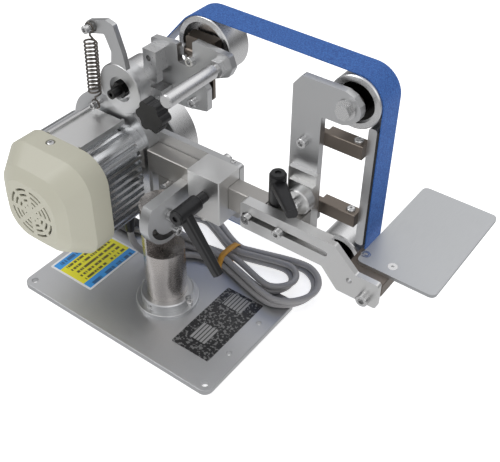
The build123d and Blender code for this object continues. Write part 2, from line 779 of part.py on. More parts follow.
def bar_between(a, b, r):
    """Round bar with ball ends between two points."""
    start = Vector(*a)
    end = Vector(*b)
    plane = Plane(origin=start, z_dir=end - start)
    body = plane * Cylinder(r, (end - start).length, align=(Align.CENTER, Align.CENTER, Align.MIN))
    return body + Pos(*a) * Sphere(r) + Pos(*b) * Sphere(r)


def spring_screw():
    """Anchor screw on the adaptor."""
    return screw_y(ANCHOR_X, ANCHOR_Z, 25, 4, 19)


def lever_screw():
    """Screw through the lever's end that holds the spring's upper ring."""
    screw = screw_y(LEVER_X, LEVER_Z, 24.5, 4, 12)
    return screw


# Tracking wheel carrier

def wheel_bracket():
    points = [
        (-40, 174), (-4, 174), (18, 178), (18, 198), (12, 206), (40, 218), (44, 226), (40, 236),
        (4, 238), (4, 214), (-12, 214), (-12, 230), (-40, 228),
    ]
    body = plate_y(points, 58, 64, 2.2)
    for x, z in BRACKET_SCREWS:
        body -= cyl("Y", 2.5, (x, z), 40, 80)
    body -= cyl("Y", 3.05, (KNOB_X, KNOB_Z), 40, 80)
    body -= cyl("Y", 4, (ROD_X, ROD_Z), 40, 80)
    for x0 in (-14, 18):
        ear = block(x0, x0 + 4, 63.9, 69.6, 218, 226)
        body += ear - cyl("X", 1.5, (TILT2_Y, TILT2_Z), -40, 40)
    return body - cyl("Y", 19, (HUB_X, HUB_Z), 40, 80)


def bracket_block():
    """Block that ties the hub to the wheel bracket."""
    body = block(-38, -24, 45, 58, 205, 224) + block(-38, -24, 45, 52, 196, 205)
    body -= cyl("Y", 18.2, (HUB_X, HUB_Z), 40, 80)
    return body - cyl("Y", 2.5, BRACKET_SCREWS[0], 40, 80)


def bracket_screws():
    back = [seat("Y", spot, 58, -1) * cap_screw(5, 6) for spot in BRACKET_SCREWS[2:]]
    side = [seat("Y", spot, 64) * button_screw(4.9, 14) for spot in BRACKET_SCREWS[:2]]
    return group(*back, *side)


def release_rod():
    rod = cyl("Y", 5.75, (ROD_X, ROD_Z), -6, 50)
    rod = chamfer(rod.edges().filter_by(GeomType.CIRCLE), 0.8)
    neck = cyl("Y", 4, (ROD_X, ROD_Z), 50, 64)
    nut = seat("Y", (ROD_X, ROD_Z), 58, -1) * hex_prism(13, 5)
    return rod + neck + nut


def tracking_knob():
    """Star grip with six lobes, and its screw."""
    centre = (KNOB_X, KNOB_Z)
    body = cyl("Y", 11.4, centre, 9, 20)
    for i in range(6):
        a = math.radians(60 * i)
        spot = (KNOB_X + 9.8 * math.cos(a), KNOB_Z + 9.8 * math.sin(a))
        body += cyl("Y", 4.3, spot, 9, 20)
    body += cyl("Y", 6.5, centre, 20, 25)
    return body - cyl("Y", 3, centre, 12, 30)


def tracking_screw():
    return cyl("Y", 3, (KNOB_X, KNOB_Z), 12, 64.4)


def carrier_pin():
    return cyl("X", 1.5, (TILT2_Y, TILT2_Z), -14, 22)


def axle_carrier():
    """Rocking plate with a knuckle on the pin, a tail for the screw and a block in the wheel."""
    body = block(-9.7, 17.7, 66.4, 69.4, 184, 236)
    body = fillet(body.edges().filter_by(Axis.Y), 3)
    body += cyl("X", 2.5, (TILT2_Y, TILT2_Z), -9.7, 17.7)
    body += block(-9.7, 17.7, 69.4, 78, 221, 236)
    body -= cyl("X", 1.55, (TILT2_Y, TILT2_Z), -40, 40)
    return body - cyl("Y", 5, (TRACK_X, TRACK_Z), 60, 80)


def tracking_axle():
    axle = cyl("Y", 5, (TRACK_X, TRACK_Z), 71, 96)
    return axle + seat("Y", (TRACK_X, TRACK_Z), 95.4) * hex_prism(13, 4)


def tracking_wheel():
    centre = (TRACK_X, TRACK_Z)
    body = cyl("Y", TRACK_R, centre, BELT_Y0, 95)
    body = chamfer(body.edges().filter_by(GeomType.CIRCLE), 0.8)
    body -= cyl("Y", 21.5, centre, BELT_Y0 - 1, 80)
    return body - cyl("Y", 10, centre, 60, 100)


def belt_loop():
    """Abrasive belt around the four wheels: the ring between two offsets of their common hull."""
    inner = hull_face(0.1)
    outer = hull_face(0.1 + BELT_T)
    body = extrude(outer, amount=BELT_W, dir=(0, 1, 0)) - extrude(inner, amount=BELT_W, dir=(0, 1, 0))
    return Pos(0, BELT_Y0, 0) * body


def hull_face(grow):
    """Face in the XZ plane inside the outer tangents of the four wheels, grown outwards."""
    wheels = [
        (MOTOR_X, MOTOR_Z, DRIVE_R), (LOWER_X, LOWER_Z, IDLER_R), (UPPER_X, UPPER_Z, IDLER_R),
        (TRACK_X, TRACK_Z, TRACK_R),
    ]
    points = []
    face = None
    for i, (x0, z0, r0) in enumerate(wheels):
        x1, z1, r1 = wheels[(i + 1) % len(wheels)]
        gap = math.hypot(x1 - x0, z1 - z0)
        a = math.atan2(z1 - z0, x1 - x0) - math.acos((r0 - r1) / gap)
        for x, z, r in ((x0, z0, r0 + grow), (x1, z1, r1 + grow)):
            points.append((x + r * math.cos(a), 0, z + r * math.sin(a)))
        disc = Plane(origin=(x0, 0, z0), z_dir=(0, -1, 0)) * Circle(r0 + grow)
        face = disc if face is None else face + disc
    return face + make_face(Polyline(*points, close=True))


# Mains cord

def cord_tube(points, firm=False):
    """Cord along straight runs joined by tangent arcs."""
    vectors = [Vector(*p) for p in points]
    radii = []
    for before, here, after in zip(vectors, vectors[1:], vectors[2:]):
        run_in = here - before
        run_out = after - here
        half = math.radians(run_in.get_angle(run_out)) / 2
        radii.append(0.45 * min(run_in.length, run_out.length) / math.tan(half))
    path = FilletPolyline(*points, radius=radii)
    profile = Plane(origin=path @ 0, z_dir=path % 0) * Circle(CORD_R)
    body = sweep(profile, path=path)
    print("cord radii", [round(r, 1) for r in radii], "length", round(path.length, 1))
    print("volume ratio", round(body.volume / (math.pi * CORD_R ** 2 * path.length), 4))
    return body


def cord_gland():
    """Tapered strain relief under the motor."""
    x, y, z = CORD_UPPER[0]
    cone = Pos(x, y, z) * Cone(4, 6, GLAND_Z0 - z, align=(Align.CENTER, Align.CENTER, Align.MIN))
    return cone + cyl("Z", 6, (x, y), GLAND_Z0, GLAND_Z1)


def power_plug():
    """Two-pin plug lying on the base plate behind the motor, its pins towards -X."""
    body = block(PLUG_X - 26, PLUG_X, PLUG_Y - 8, PLUG_Y + 8, BASE_T + 0.1, BASE_T + 13)
    body = fillet(body.edges().filter_by(Axis.X), 4)
    for y in (PLUG_Y - 5.5, PLUG_Y + 4):
        body += block(PLUG_X - 40, PLUG_X - 26, y, y + 1.5, PLUG_Z - 3, PLUG_Z + 3)
    return body


def base_screws():
    return group(*flange_screws(), post_set_screw())


def head_screws():
    cover = Pos(-79, -30, 154.2) * button_screw(3.8, 2.5)
    parts = [*lug_screws(), *frame_screws(), *motor_screws(), *ear_screws()]
    return group(*parts, block_screw(), spring_screw(), cover)


def tension_screws():
    return group(*bracket_screws(), lever_screw(), carrier_pin())


def arm_screws():
    return group(*platen_screws(), *rest_bracket_screws())


def idler_axles():
    return group(upper_axle(), lower_axle(), *axle_nuts())


def idler(x, z):
    """Idler roller with its two bearings."""
    return group(pulley(x, z, IDLER_R, 10, 67.5, 95), *bearing_pair(x, z, 10, 4.05, 65.5, 95))


def tracking_roller():
    bearing = tube("Y", 10, 5.05, (TRACK_X, TRACK_Z), 81, 93)
    return group(tracking_wheel(), bearing)


def motor_core():
    return group(motor_stator(), motor_bearings())


def arm_spacers():
    return group(pivot_boss(), *spacer_plates())


def bar_and_lug():
    return group(support_bar(), tilt_lug())


def hub_tube():
    return group(tension_tube(), bracket_block())


PARTS = {
    "base_plate": base_plate,
    "post_flange": post_flange,
    "base_screws": base_screws,
    "notice_plate": lambda: rating_plate(-104, -51, -36.5, 30),
    "rating_plate": lambda: rating_plate(49, 89, -38.5, 43),
    "cord_hank": cord_hank,
    "cord_tie": cord_tie,
    "cord_lower": lambda: cord_tube(CORD_LOWER),
    "cord_tail": lambda: cord_tube(CORD_TAIL),
    "power_plug": power_plug,
    "swivel_post": swivel_post,
    "tilt_screws": tilt_screws,
    "cord_upper": lambda: cord_tube(CORD_UPPER),
    "tilt_plate": tilt_plate,
    "support_bar": bar_and_lug,
    "frame_plate": frame_plate,
    "motor_adaptor": motor_adaptor,
    "motor_housing": motor_housing,
    "motor_top_plate": motor_top_plate,
    "motor_core": motor_core,
    "fan_cover": fan_cover,
    "cord_gland": cord_gland,
    "sleeve_block": sleeve_block,
    "pivot_ear": pivot_ear,
    "tension_pivot": tension_pivot,
    "head_screws": head_screws,
    "coil_spring": coil_spring,
    "abrasive_belt": belt_loop,
    "motor_shaft": motor_shaft,
    "cooling_fan": cooling_fan,
    "drive_wheel": drive_wheel,
    "side_lever": side_lever,
    "tension_hub": tension_hub,
    "tension_tube": hub_tube,
    "hub_bearings": hub_bearings,
    "wheel_bracket": wheel_bracket,
    "tension_screws": tension_screws,
    "release_rod": release_rod,
    "tracking_knob": tracking_knob,
    "tracking_screw": tracking_screw,
    "axle_carrier": axle_carrier,
    "tracking_axle": tracking_axle,
    "tracking_wheel": tracking_roller,
    "tool_arm_bar": tool_arm_bar,
    "clamp_block": clamp_block,
    "arm_spacers": arm_spacers,
    "platen_plate": platen_plate,
    "cross_bars": platen_bars,
    "platen_bar": platen_bar,
    "platen_pad": platen_pad,
    "arm_screws": arm_screws,
    "idler_axles": idler_axles,
    "upper_idler": lambda: idler(UPPER_X, UPPER_Z),
    "lower_idler": lambda: idler(LOWER_X, LOWER_Z),
    "top_lever": top_lever,
    "rest_bracket": rest_bracket,
    "rest_pivot": rest_pivot,
    "rest_block": rest_block,
    "rest_table": rest_table,
    "table_screws": table_screws,
}

os.makedirs("parts", exist_ok=True)
for name, make in PARTS.items():
    export_step(make(), "parts/" + name + ".step")
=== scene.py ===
import math

import bpy
from mathutils import Matrix, Vector


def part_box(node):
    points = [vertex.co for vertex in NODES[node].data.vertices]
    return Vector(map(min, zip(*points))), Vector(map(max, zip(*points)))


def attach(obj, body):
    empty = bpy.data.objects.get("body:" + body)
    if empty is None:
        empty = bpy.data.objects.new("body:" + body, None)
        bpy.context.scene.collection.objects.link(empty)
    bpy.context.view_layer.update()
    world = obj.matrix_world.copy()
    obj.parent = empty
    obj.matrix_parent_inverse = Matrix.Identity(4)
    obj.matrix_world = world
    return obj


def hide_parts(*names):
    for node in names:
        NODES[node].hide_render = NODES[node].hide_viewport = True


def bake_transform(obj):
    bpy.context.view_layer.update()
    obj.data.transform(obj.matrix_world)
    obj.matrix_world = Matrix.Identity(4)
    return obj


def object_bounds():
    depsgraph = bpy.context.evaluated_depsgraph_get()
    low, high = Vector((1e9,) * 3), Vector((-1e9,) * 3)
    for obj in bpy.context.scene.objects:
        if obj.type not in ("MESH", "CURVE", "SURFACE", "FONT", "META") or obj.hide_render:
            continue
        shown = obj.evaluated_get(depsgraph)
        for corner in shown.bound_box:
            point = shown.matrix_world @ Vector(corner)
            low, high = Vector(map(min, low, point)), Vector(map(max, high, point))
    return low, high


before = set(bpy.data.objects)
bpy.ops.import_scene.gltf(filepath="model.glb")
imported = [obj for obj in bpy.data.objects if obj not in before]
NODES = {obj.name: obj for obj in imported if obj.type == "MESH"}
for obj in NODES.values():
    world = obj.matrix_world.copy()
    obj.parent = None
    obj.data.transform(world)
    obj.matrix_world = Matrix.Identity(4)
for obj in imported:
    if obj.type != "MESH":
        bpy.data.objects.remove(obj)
CAD_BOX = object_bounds()
MM = 0.001


def add_object(name, data):
    """Object with the data given, put in the scene."""
    piece = bpy.data.objects.new(name, data)
    bpy.context.scene.collection.objects.link(piece)
    return piece


# Materials

BUMP_DEPTH = 0.0002
EVEN = (1, 1, 1)


def new_material(name):
    """Principled material and its node tree."""
    mat = bpy.data.materials.new(name)
    mat.use_nodes = True
    tree = mat.node_tree
    return mat, tree, tree.nodes["Principled BSDF"]


def object_coords(tree, scale):
    """Object coordinates, in metres, stretched by a scale for each axis."""
    coords = tree.nodes.new("ShaderNodeTexCoord")
    mapping = tree.nodes.new("ShaderNodeMapping")
    mapping.inputs["Scale"].default_value = scale
    tree.links.new(coords.outputs["Object"], mapping.inputs["Vector"])
    return mapping.outputs["Vector"]


def noise(tree, vector, scale, detail=4.0):
    """Noise value along a vector."""
    node = tree.nodes.new("ShaderNodeTexNoise")
    node.inputs["Scale"].default_value = scale
    node.inputs["Detail"].default_value = detail
    tree.links.new(vector, node.inputs["Vector"])
    return node.outputs["Fac"]


def remap(tree, value, low, high):
    """Value from 0.3..0.7 spread over low..high."""
    node = tree.nodes.new("ShaderNodeMapRange")
    node.inputs["From Min"].default_value = 0.3
    node.inputs["From Max"].default_value = 0.7
    node.inputs["To Min"].default_value = low
    node.inputs["To Max"].default_value = high
    tree.links.new(value, node.inputs["Value"])
    return node.outputs["Result"]


def bump(tree, shader, value, strength, distance):
    """Bump from a height value."""
    node = tree.nodes.new("ShaderNodeBump")
    node.inputs["Strength"].default_value = strength
    node.inputs["Distance"].default_value = distance
    tree.links.new(value, node.inputs["Height"])
    tree.links.new(node.outputs["Normal"], shader.inputs["Normal"])


def metal(name, color, rough, stretch=EVEN, grain=400.0, spread=0.08, relief=0.06):
    """Metal with streaks of varying roughness; a small stretch draws the streaks out along that axis."""
    mat, tree, shader = new_material(name)
    shader.inputs["Base Color"].default_value = (*color, 1)
    shader.inputs["Metallic"].default_value = 1.0
    streaks = noise(tree, object_coords(tree, stretch), grain)
    tree.links.new(remap(tree, streaks, rough - spread, rough + spread), shader.inputs["Roughness"])
    bump(tree, shader, streaks, relief, BUMP_DEPTH)
    return mat


def plastic(name, color, rough, grain=1500.0, relief=0.05):
    """Moulded plastic or rubber with a fine surface texture."""
    mat, tree, shader = new_material(name)
    shader.inputs["Base Color"].default_value = (*color, 1)
    shader.inputs["Roughness"].default_value = rough
    bump(tree, shader, noise(tree, object_coords(tree, EVEN), grain), relief, BUMP_DEPTH)
    return mat


def math_node(tree, operation, a, b):
    """Result of a math node on two inputs, each a socket or a number."""
    node = tree.nodes.new("ShaderNodeMath")
    node.operation = operation
    for value, socket in ((a, node.inputs[0]), (b, node.inputs[1])):
        if isinstance(value, (int, float)):
            socket.default_value = value
        else:
            tree.links.new(value, socket)
    return node.outputs["Value"]


def between(tree, value, low, high):
    """1 where a value lies between two limits, else 0."""
    above = math_node(tree, "GREATER_THAN", value, low)
    below = math_node(tree, "LESS_THAN", value, high)
    return math_node(tree, "MULTIPLY", above, below)


def mix(tree, mask, below, above):
    """Colour above where the mask is 1, else the colour below; each a socket or a colour."""
    node = tree.nodes.new("ShaderNodeMix")
    node.data_type = "RGBA"
    tree.links.new(mask, node.inputs["Factor"])
    for value, socket in ((below, node.inputs[6]), (above, node.inputs[7])):
        if isinstance(value, tuple):
            socket.default_value = (*value, 1)
        else:
            tree.links.new(value, socket)
    return node.outputs[2]


def position(tree):
    """X, Y and Z object coordinates as sockets."""
    coords = tree.nodes.new("ShaderNodeTexCoord")
    split = tree.nodes.new("ShaderNodeSeparateXYZ")
    tree.links.new(coords.outputs["Object"], split.inputs["Vector"])
    return split.outputs["X"], split.outputs["Y"], split.outputs["Z"]


def in_rectangle(tree, x, y, low, high):
    """1 inside a rectangle given by two corners, else 0."""
    return math_node(
        tree, "MULTIPLY", between(tree, x, low[0], high[0]), between(tree, y, low[1], high[1]),
    )


PRINT_GRAIN = 420.0


def print_lines(tree, across, along, pitch, seed):
    """Mask of broken bars, like unreadable lines of print."""
    wave = math_node(tree, "FRACT", math_node(tree, "DIVIDE", across, pitch), 0)
    bars = between(tree, wave, 0.25, 0.72)
    text = tree.nodes.new("ShaderNodeTexNoise")
    text.noise_dimensions = "2D"
    text.inputs["Scale"].default_value = PRINT_GRAIN
    pair = tree.nodes.new("ShaderNodeCombineXYZ")
    tree.links.new(along, pair.inputs["X"])
    row = math_node(tree, "FLOOR", math_node(tree, "DIVIDE", across, pitch), 0)
    tree.links.new(math_node(tree, "MULTIPLY", row, seed), pair.inputs["Y"])
    tree.links.new(pair.outputs["Vector"], text.inputs["Vector"])
    marks = math_node(tree, "GREATER_THAN", text.outputs["Fac"], 0.44)
    return math_node(tree, "MULTIPLY", bars, marks)


def notice_material(box):
    """Printed notice: white border, blue bands at both ends and a yellow middle with dark lines."""
    (x0, y0, _), (x1, y1, _) = box
    mat, tree, shader = new_material("notice_print")
    x, y, _ = position(tree)
    band = 11 * MM
    edge = 2 * MM
    inner = between(tree, y, y0 + 8 * MM, y1 - 6 * MM)
    lines = math_node(tree, "MULTIPLY", print_lines(tree, x, y, 6.2 * MM, 0.37), inner)
    yellow = mix(tree, lines, (0.86, 0.80, 0.02), (0.10, 0.09, 0.01))
    blue_lines = math_node(tree, "MULTIPLY", print_lines(tree, x, y, 8.5 * MM, 0.71), inner)
    blue = mix(tree, blue_lines, (0.04, 0.33, 0.80), (0.02, 0.12, 0.30))
    middle = between(tree, x, x0 + band, x1 - band)
    color = mix(tree, middle, blue, yellow)
    inside = in_rectangle(tree, x, y, (x0 + edge, y0 + edge), (x1 - edge, y1 - edge))
    tree.links.new(mix(tree, inside, (0.85, 0.86, 0.86), color), shader.inputs["Base Color"])
    shader.inputs["Roughness"].default_value = 0.35
    return mat


def rating_material(box):
    """Black rating plate with a mottled grey print and two ruled light fields."""
    (x0, y0, _), (x1, y1, _) = box
    mat, tree, shader = new_material("rating_print")
    x, y, _ = position(tree)
    mottle = noise(tree, object_coords(tree, EVEN), PRINT_GRAIN, 6.0)
    mottle = math_node(tree, "GREATER_THAN", mottle, 0.545)
    color = mix(tree, mottle, (0.012, 0.012, 0.013), (0.16, 0.16, 0.16))
    fields = (
        ((x0 + 9 * MM, y0 + 13.5 * MM), (x0 + 26 * MM, y0 + 33.5 * MM)),
        ((x0 + 8 * MM, y1 - 20 * MM), (x0 + 29 * MM, y1 - 3 * MM)),
    )
    for low, high in fields:
        mask = in_rectangle(tree, x, y, low, high)
        rule = math_node(tree, "FRACT", math_node(tree, "DIVIDE", x, 3.4 * MM), 0)
        field = mix(tree, between(tree, rule, 0.0, 0.3), (0.30, 0.30, 0.30), (0.03, 0.03, 0.03))
        color = mix(tree, mask, color, field)
    tree.links.new(color, shader.inputs["Base Color"])
    shader.inputs["Roughness"].default_value = 0.3
    return mat


def belt_material():
    """Blue grit on the outside and cut edges."""
    mat, tree, shader = new_material("belt_grit")
    grit = noise(tree, object_coords(tree, EVEN), 900.0, 8.0)
    color = mix(tree, remap(tree, grit, 0.0, 1.0), (0.016, 0.062, 0.25), (0.05, 0.17, 0.50))
    tree.links.new(color, shader.inputs["Base Color"])
    shader.inputs["Roughness"].default_value = 0.75
    bump(tree, shader, grit, 0.6, 0.0006)
    return mat


def backing_material():
    """Woven cloth back of the belt."""
    mat, tree, shader = new_material("belt_backing")
    weave = noise(tree, object_coords(tree, (1, 6, 1)), 500.0, 2.0)
    color = mix(tree, remap(tree, weave, 0.0, 1.0), (0.30, 0.33, 0.42), (0.44, 0.47, 0.55))
    tree.links.new(color, shader.inputs["Base Color"])
    shader.inputs["Roughness"].default_value = 0.85
    return mat


MACHINED = metal("machined", (0.60, 0.605, 0.61), 0.38, EVEN, 1800.0, 0.04, 0.008)
TURNED_Y = metal("turned_y", (0.66, 0.66, 0.66), 0.30, (0.3, 5, 0.3), 1200.0, 0.05, 0.008)
TURNED_Z = metal("turned_z", (0.54, 0.51, 0.49), 0.25, (0.3, 0.3, 5), 1200.0, 0.05, 0.008)
BRUSHED_X = metal("brushed_x", (0.60, 0.605, 0.61), 0.36, (0.06, 1, 1), 1800.0, 0.05, 0.01)
PLATE = metal("base_satin", (0.55, 0.555, 0.565), 0.42, EVEN, 900.0, 0.05, 0.01)
TABLE_FACE = metal("table_satin", (0.52, 0.53, 0.54), 0.46, (1, 0.04, 1), 1800.0, 0.04, 0.01)
MATTE = metal("matte_alu", (0.47, 0.455, 0.435), 0.42, (0.1, 1, 1), 1500.0, 0.05, 0.01)
BRIGHT = metal("bright_alu", (0.72, 0.72, 0.715), 0.40, (0.2, 1, 1), 1800.0, 0.04, 0.008)
CAST = metal("motor_alu", (0.64, 0.65, 0.66), 0.24, (1, 0.05, 1), 1200.0, 0.05, 0.008)
SCREWS = metal("zinc_screws", (0.62, 0.62, 0.62), 0.26, EVEN, 1800.0, 0.04, 0.005)
SPRING_STEEL = metal("spring_steel", (0.16, 0.145, 0.13), 0.30, EVEN, 1800.0, 0.05, 0.01)
DARK_STEEL = metal("dark_steel", (0.05, 0.05, 0.05), 0.35, EVEN, 1800.0, 0.05, 0.01)
BROWN = metal("brown_anodised", (0.21, 0.18, 0.155), 0.40, EVEN, 1800.0, 0.05, 0.008)
CORE = metal("core_iron", (0.18, 0.16, 0.14), 0.50, (1, 20, 1), 900.0, 0.06, 0.05)
BEIGE = plastic("cover_beige", (0.50, 0.49, 0.40), 0.40, 1500.0, 0.04)
BLACK = plastic("black_plastic", (0.010, 0.010, 0.011), 0.36)
PAD = plastic("platen_pad", (0.02, 0.02, 0.02), 0.6)
CORD = plastic("cord_grey", (0.30, 0.295, 0.30), 0.45, 1500.0, 0.03)
TIE = plastic("tie_orange", (0.55, 0.27, 0.03), 0.45)

SEAL_RADIUS = 15.5 * MM


def sealed_wheel(name, node):
    """Turned wheel whose bearing seal shows as a dark disc around the axis of its CAD node."""
    low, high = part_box(node)
    axis = (low + high) / 2
    mat, tree, shader = new_material(name)
    x, _, z = position(tree)
    dx = math_node(tree, "SUBTRACT", x, axis.x)
    dz = math_node(tree, "SUBTRACT", z, axis.z)
    squares = math_node(
        tree, "ADD", math_node(tree, "MULTIPLY", dx, dx), math_node(tree, "MULTIPLY", dz, dz),
    )
    dark = math_node(tree, "LESS_THAN", squares, SEAL_RADIUS ** 2)
    tree.links.new(mix(tree, dark, (0.66, 0.66, 0.66), (0.018, 0.017, 0.016)), shader.inputs["Base Color"])
    shader.inputs["Metallic"].default_value = 1.0
    streaks = noise(tree, object_coords(tree, (0.3, 5, 0.3)), 1200.0)
    tree.links.new(remap(tree, streaks, 0.25, 0.36), shader.inputs["Roughness"])
    return mat


NODE_MATERIALS = {
    "base_plate": PLATE, "post_flange": MACHINED, "base_screws": SCREWS, "cord_gland": BLACK,
    "notice_plate": notice_material(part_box("notice_plate")),
    "rating_plate": rating_material(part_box("rating_plate")), "power_plug": BLACK,
    "swivel_post": TURNED_Z, "tilt_screws": SCREWS, "tilt_plate": BRUSHED_X, "support_bar": MATTE,
    "frame_plate": MACHINED, "motor_adaptor": MACHINED, "motor_housing": CAST, "motor_top_plate": BRIGHT,
    "motor_core": CORE, "fan_cover": BEIGE, "sleeve_block": BRIGHT, "pivot_ear": MACHINED,
    "tension_pivot": DARK_STEEL, "head_screws": SCREWS, "motor_shaft": TURNED_Y, "cooling_fan": BLACK,
    "drive_wheel": TURNED_Y, "side_lever": BLACK, "tension_hub": MACHINED, "tension_tube": TURNED_Y,
    "hub_bearings": TURNED_Y, "wheel_bracket": MACHINED, "tension_screws": SCREWS,
    "release_rod": TURNED_Y, "tracking_knob": BLACK, "tracking_screw": SCREWS, "axle_carrier": BROWN,
    "tracking_axle": SCREWS, "tracking_wheel": TURNED_Y, "tool_arm_bar": MATTE, "clamp_block": MATTE,
    "arm_spacers": BRIGHT, "platen_plate": MACHINED, "cross_bars": BROWN, "platen_bar": MACHINED,
    "platen_pad": PAD, "arm_screws": SCREWS, "idler_axles": SCREWS,
    "upper_idler": sealed_wheel("upper_wheel", "upper_idler"),
    "lower_idler": sealed_wheel("lower_wheel", "lower_idler"), "top_lever": BLACK,
    "rest_bracket": BRIGHT, "rest_pivot": SCREWS, "rest_block": BROWN, "rest_table": TABLE_FACE,
    "table_screws": SCREWS,
}
for node, mat in NODE_MATERIALS.items():
    for slot in NODES[node].material_slots:
        slot.material = mat


# Belt and spring, as copies of their CAD meshes

def bending_copy(node, name, materials):
    """Copy of a CAD node's mesh that replaces it, with the materials given."""
    mesh = NODES[node].data.copy()
    mesh.name = name
    piece = add_object(name, mesh)
    mesh.materials.clear()
    for mat in materials:
        mesh.materials.append(mat)
    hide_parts(node)
    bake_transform(piece)
    return piece


def face_inwards(piece, centre, index):
    """Gives the faces that look at the loop's centre the material of an index."""
    for face in piece.data.polygons:
        towards = centre - face.center
        towards.y = 0
        flat = abs(face.normal.y) > 0.9
        face.material_index = index if not flat and face.normal.dot(towards) > 0 else 0


belt_low, belt_high = (Vector(p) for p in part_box("abrasive_belt"))
belt = bending_copy(
    "abrasive_belt", "abrasive_belt_cloth", [belt_material(), backing_material()],
)
face_inwards(belt, (belt_low + belt_high) / 2, 1)

spring = bending_copy(
    "coil_spring", "tension_coil", [SPRING_STEEL],
)


# Mains cord

CORD_RADIUS = 3 * MM
CORD_UPPER = [
    (-45, 16, 46), (-45, 16, 33), (-38.6, 22.4, 17.2), (-27.6, 33.4, 8.2), (-14.9, 46.1, 8.2),
]
CORD_LOWER = [(-14.9, 46.1, 8.2), (-6.4, 54.6, 8.2), (4, 58.6, 8.2), (12, 60.2, 8.2), (20, 61.2, 8.2)]
CORD_TAIL = [
    (-54, 78, 10.6), (-53, 68, 9.0), (-55, 59, 8.3), (-63, 52, 8.2), (-74, 50, 8.2),
]
WAIST_X = 26.0
LAYER_1 = 8.2
LAYER_2 = 14.4
PLATE_THICK = 5
DROP_START_Y = 68
DROP_RUN = 34
ARC_STEP = 30
ARC_SET_OUT = 1.035
WAIST_LEAD = 14
LEAD_LEAN = 0.24
# Millimetres. Each turn: Y where it enters the waist, right loop, Y where it comes back, left loop, its layer
HANK_TURNS = (
    (62.5, (86, 77, 30.5), 87.5, (-29, 87, 25.4), LAYER_1),
    (68.7, (74, 76.5, 19.5), 81.3, (-29, 87, 19.2), LAYER_1),
    (74.9, (78, 78.5, 19.2), 81.3, (-29, 87, 19.4), LAYER_2),
    (66.0, (90, 78, 30.5), 87.5, (-29, 87, 25.8), LAYER_2),
)


def resting(x, y, z):
    """Point of the hank, lowered behind the plate's rear edge to lie on the floor."""
    return (x, y, z - PLATE_THICK * min(max((y - DROP_START_Y) / DROP_RUN, 0), 1))


def loop_points(loop, z, start, steps):
    """Points of a loop's arc, set out a little because the spline runs inside them."""
    x, y, radius = loop
    reach = ARC_SET_OUT * radius
    points = []
    for step in range(steps + 1):
        a = math.radians(start + ARC_STEP * step)
        points.append(resting(x + reach * math.cos(a), y + reach * math.sin(a), z))
    return points


def hank_route():
    """Hank tied at its waist: turns wind in on the first layer and out again on the second."""
    lead_x = WAIST_X + WAIST_LEAD
    route = [CORD_LOWER[-1]]
    for i, (enter, right, back, left, z) in enumerate(HANK_TURNS):
        last = i == len(HANK_TURNS) - 1
        before = HANK_TURNS[max(i - 1, 0)][4]
        route.append(resting(WAIST_X, enter, (before + z) / 2))
        route.append(resting(lead_x, enter + (right[1] - right[2] - enter) * LEAD_LEAN, z))
        route += loop_points(right, z, -90, 6)
        route.append(resting(lead_x, back + (right[1] + right[2] - back) * LEAD_LEAN, z))
        route.append(resting(WAIST_X, back, z))
        route += loop_points(left, z, 60, 4 if last else 7)
    return route


def cord_curve(name, points, material):
    """Round cord on a smooth spline whose control points are the route's points."""
    curve = bpy.data.curves.new(name, "CURVE")
    curve.dimensions = "3D"
    curve.bevel_depth = CORD_RADIUS
    curve.bevel_resolution = 6
    curve.resolution_u = 8
    curve.use_fill_caps = True
    spline = curve.splines.new("NURBS")
    spline.points.add(len(points) - 1)
    for point, spot in zip(spline.points, points):
        point.co = (*(v * MM for v in spot), 1)
    spline.order_u = 3
    spline.use_endpoint_u = True
    curve.materials.append(material)
    return add_object(name, curve)


def spline_line(points):
    """Points in metres along the route's smooth spline."""
    plain = cord_curve("route_line", points, CORD)
    plain.data.bevel_depth = 0
    bpy.context.view_layer.update()
    mesh = bpy.data.meshes.new_from_object(plain)
    line = [v.co.copy() for v in mesh.vertices]
    bpy.data.objects.remove(plain)
    return line


def line_length(line):
    """Length along a line of points."""
    return sum((b - a).length for a, b in zip(line, line[1:]))


TUBE_SIDES = 16


def cord_tube(name, points, material):
    """Mesh tube along the route's spline, and the line it follows."""
    line = spline_line(points)
    sides = TUBE_SIDES
    verts = []
    faces = []
    across = Vector((0, 1, 0))
    for i, spot in enumerate(line):
        along = (line[min(i + 1, len(line) - 1)] - line[max(i - 1, 0)]).normalized()
        across = (across - along * across.dot(along)).normalized()
        other = along.cross(across)
        for k in range(sides):
            a = 2 * math.pi * k / sides
            verts.append(spot + (across * math.cos(a) + other * math.sin(a)) * CORD_RADIUS)
    for i in range(len(line) - 1):
        for k in range(sides):
            n = (k + 1) % sides
            faces.append((sides * i + k, sides * i + n, sides * (i + 1) + n, sides * (i + 1) + k))
    faces.append(tuple(reversed(range(sides))))
    faces.append(tuple(range(sides * (len(line) - 1), sides * len(line))))
    mesh = bpy.data.meshes.new(name)
    mesh.from_pydata(verts, [], faces)
    for face in mesh.polygons:
        face.use_smooth = len(face.vertices) == 4
    mesh.materials.append(material)
    return add_object(name, mesh), line


def crossing_cord(name, node, points, body_a, body_b, **facts):
    """Stretch of cord as a tube on its route's spline, which replaces a CAD node."""
    piece, line = cord_tube(name, points, CORD)
    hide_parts(node)
    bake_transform(piece)


crossing_cord("cord_to_motor", "cord_upper", CORD_UPPER, "head", "post", with_pieces=[NODES["cord_gland"]])
crossing_cord("cord_to_base", "cord_lower", CORD_LOWER, "post", "base")

hank_points = hank_route()
main_points = hank_points + CORD_TAIL
main_cord = cord_curve("mains_cord", main_points, CORD)
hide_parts("cord_hank", "cord_tail")
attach(main_cord, "base")
main_length = line_length(spline_line(main_points))


